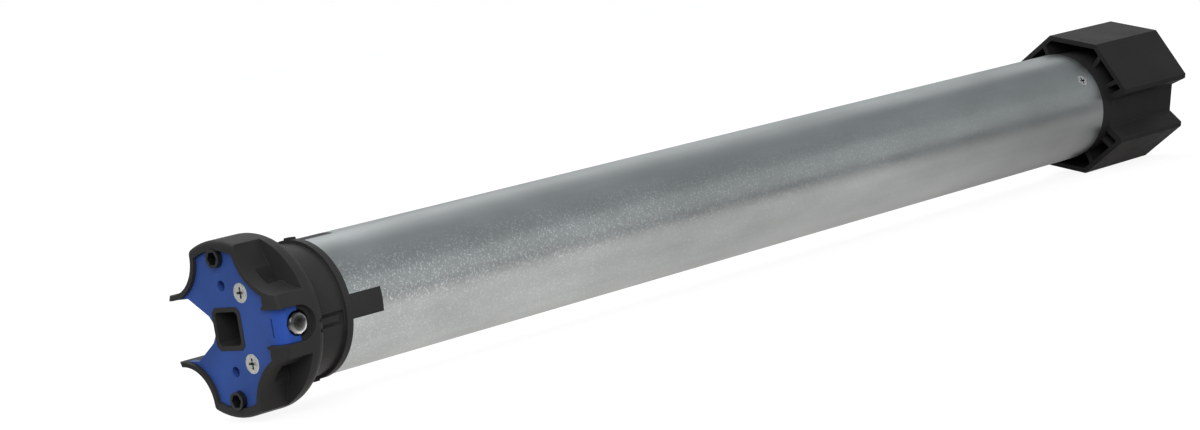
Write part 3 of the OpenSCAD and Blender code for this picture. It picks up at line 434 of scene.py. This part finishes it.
def coil(name, seat, along, side, up, length, radius, wire, turns):
    """A coil from its seat, with its axis along, a mean radius and the wire's own radius."""
    count = turns * COIL_STEPS
    verts = []
    faces = []
    for i in range(count + 1):
        turn = 2 * math.pi * i / COIL_STEPS
        out = side * math.cos(turn) + up * math.sin(turn)
        middle = seat + along * (wire + (length - 2 * wire) * i / count)
        for j in range(WIRE_SIDES):
            a = 2 * math.pi * j / WIRE_SIDES
            verts.append(middle + out * (radius + wire * math.cos(a)) + along * (wire * math.sin(a)))
    for i in range(count):
        this = i * WIRE_SIDES
        after = this + WIRE_SIDES
        for j in range(WIRE_SIDES):
            k = (j + 1) % WIRE_SIDES
            faces.append((this + j, this + k, after + k, after + j))
    faces.append(tuple(reversed(range(WIRE_SIDES))))
    faces.append(tuple(count * WIRE_SIDES + j for j in range(WIRE_SIDES)))
    mesh = bpy.data.meshes.new(name)
    mesh.from_pydata([tuple(v) for v in verts], [], faces)
    mesh.materials.append(MATS["spring_steel"])
    piece = bpy.data.objects.new(name, mesh)
    bpy.context.collection.objects.link(piece)
    for face in mesh.polygons:
        face.use_smooth = len(face.vertices) == 4
    fm = bmesh.new()
    fm.from_mesh(mesh)
    bmesh.ops.recalc_face_normals(fm, faces=fm.faces)
    fm.to_mesh(mesh)
    fm.free()
    return piece


catch_seat = Vector((6.2, -9.5, 0)) * MM
catch_coil = coil(
    "catch_coil", catch_seat, -Y, X, Z, length=13.65 * MM, radius=3.5 * MM, wire=0.4 * MM, turns=7)
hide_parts("catch_spring")
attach(catch_coil, "motor")
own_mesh(catch_coil)
brake_seat = Vector((350.8, 0, 0)) * MM
brake_coil = coil(
    "brake_coil", brake_seat, X, Y, Z, length=7.5 * MM, radius=5.3 * MM, wire=0.45 * MM, turns=4)
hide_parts("brake_spring")
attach(brake_coil, "rotor")
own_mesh(brake_coil)

# Camera, fitted to the photo
CAMERA_PLACE = (-0.57602, -0.72732, 0.10309)
CAMERA_RIGHT = (0.67685, -0.71863, -0.15955)
CAMERA_DOWN = (-0.17749, 0.05104, -0.98281)
SENSOR_MM = 36
LENS_MM = 88.53
SHIFT = (0.0004, -0.0010)
cam_data = bpy.data.cameras.new("camera")
cam = bpy.data.objects.new("camera", cam_data)
bpy.context.collection.objects.link(cam)
right = Vector(CAMERA_RIGHT).normalized()
down = Vector(CAMERA_DOWN).normalized()
ahead = right.cross(down).normalized()
cam.matrix_world = Matrix((
    (right.x, -down.x, -ahead.x, CAMERA_PLACE[0]),
    (right.y, -down.y, -ahead.y, CAMERA_PLACE[1]),
    (right.z, -down.z, -ahead.z, CAMERA_PLACE[2]),
    (0, 0, 0, 1)))
cam_data.sensor_width = SENSOR_MM
cam_data.lens = LENS_MM
cam_data.clip_start = 0.01
cam_data.shift_x, cam_data.shift_y = SHIFT
bpy.context.scene.camera = cam

# World: white to the camera, and to everything else a grey that changes with height
SKY = [
    (0.0, (0.535, 0.555, 0.555)), (0.25, (0.515, 0.54, 0.545)), (0.4, (0.46, 0.485, 0.49)),
    (0.55, (0.36, 0.38, 0.39)), (0.66, (0.37, 0.395, 0.405)), (0.85, (0.43, 0.455, 0.465)),
    (1.0, (0.49, 0.51, 0.525))]
world = bpy.data.worlds.new("world")
bpy.context.scene.world = world
world.use_nodes = True
wt = world.node_tree
wt.nodes.clear()
w_out = wt.nodes.new("ShaderNodeOutputWorld")
w_path = wt.nodes.new("ShaderNodeLightPath")
w_seen = wt.nodes.new("ShaderNodeBackground")
w_seen.inputs[0].default_value = (*WHITE, 1)
w_seen.inputs[1].default_value = 1.0
w_light = wt.nodes.new("ShaderNodeBackground")
w_sky = wt.nodes.new("ShaderNodeTexCoord")
w_split = wt.nodes.new("ShaderNodeSeparateXYZ")
wt.links.new(w_sky.outputs["Generated"], w_split.inputs[0])
wt.links.new(ramp(wt, w_split.outputs[2], SKY), w_light.inputs[0])
w_light.inputs[1].default_value = 1.0
w_both = mix_shaders(wt, w_path.outputs["Is Camera Ray"], w_light.outputs[0], w_seen.outputs[0])
wt.links.new(w_both, w_out.inputs[0])

# Floor: near white to the camera, and in the metal a pale table that darkens away from the tube
FLOOR_X = 0.25
FLOOR_SIZE = 6
SEEN_GLOW = 0.9
SEEN_ALBEDO = 0.22
MIRRORED_ALBEDO = 0.22
MIRRORED_TINT = (1.0, 0.985, 0.955)
PLAIN_FLOOR = (0.30, 0.30, 0.29)
# Metres along the tube
GLOW_ALONG = [(0.1, 1.0), (0.2, 0.94), (0.33, 0.83), (0.48, 0.38), (0.6, 0.2), (0.75, 0.12)]
# Metres from the tube's axis towards the camera, plus GLOW_START
GLOW_START = 0.1
GLOW_OUTWARDS = [
    (0.0, 0.20), (0.06, 0.28), (0.11, 0.84), (0.18, 0.90), (0.26, 0.50), (0.5, 0.31), (0.9, 0.24)]
bpy.ops.mesh.primitive_plane_add(size=FLOOR_SIZE, location=(FLOOR_X, 0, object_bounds()[0][2]))
floor = bpy.context.object
floor.name = "floor"
f_mat = bpy.data.materials.new("floor")
f_mat.use_nodes = True
ft = f_mat.node_tree
ft.nodes.clear()
f_out = ft.nodes.new("ShaderNodeOutputMaterial")
f_path = ft.nodes.new("ShaderNodeLightPath")


def matt_layer(colour):
    node = ft.nodes.new("ShaderNodeBsdfDiffuse")
    node.inputs[0].default_value = (*colour, 1)
    return node.outputs[0]


def glowing_layer(glow, albedo, tint=WHITE):
    """A glow of its own, over a matt grey that keeps the object's shadow."""
    glowing = ft.nodes.new("ShaderNodeEmission")
    feed(ft, glowing.inputs, (tint, glow))
    both = ft.nodes.new("ShaderNodeAddShader")
    feed(ft, both.inputs, (glowing.outputs[0], matt_layer((albedo, albedo, albedo))))
    return both.outputs[0]


f_spot = places(ft)
along_tube = maths(ft, "ADD", f_spot[0], FLOOR_X)
from_tube = maths(ft, "ADD", maths(ft, "MULTIPLY", f_spot[1], -1.0), GLOW_START)
mirrored = product(ft, ramp(ft, along_tube, GLOW_ALONG), ramp(ft, from_tube, GLOW_OUTWARDS))
f_mirrored = glowing_layer(mirrored, MIRRORED_ALBEDO, MIRRORED_TINT)
f_unseen = mix_shaders(ft, f_path.outputs["Is Glossy Ray"], matt_layer(PLAIN_FLOOR), f_mirrored)
f_seen = mix_shaders(ft, f_path.outputs["Is Camera Ray"], f_unseen, glowing_layer(SEEN_GLOW, SEEN_ALBEDO))
ft.links.new(f_seen, f_out.inputs[0])
floor.data.materials.append(f_mat)

# Lamps: name, place, where it points, width, height, watts
LAMPS = [
    ("key", (-0.9, -1.0, 0.75), (0.1, 0, 0), 1.2, 0.8, 9),
    ("top", (0.3, 0.7, 1.3), (0.25, 0, 0), 1.6, 0.8, 9),
    ("rim", (2.2, 1.2, 1.3), (0.3, 0, 0), 1.4, 1.0, 1.5),
    ("fill", (0.9, -1.4, 0.35), (0.3, 0, 0), 1.2, 0.8, 0.7),
]
for name, place, target, width, height, watts in LAMPS:
    lamp_data = bpy.data.lights.new(name, "AREA")
    lamp_data.shape = "RECTANGLE"
    lamp_data.size = width
    lamp_data.size_y = height
    lamp_data.energy = watts
    lamp = bpy.data.objects.new(name, lamp_data)
    bpy.context.collection.objects.link(lamp)
    lamp.location = place
    lamp.rotation_euler = (Vector(target) - Vector(place)).to_track_quat("-Z", "Y").to_euler()

bpy.context.scene.view_settings.view_transform = "Standard"
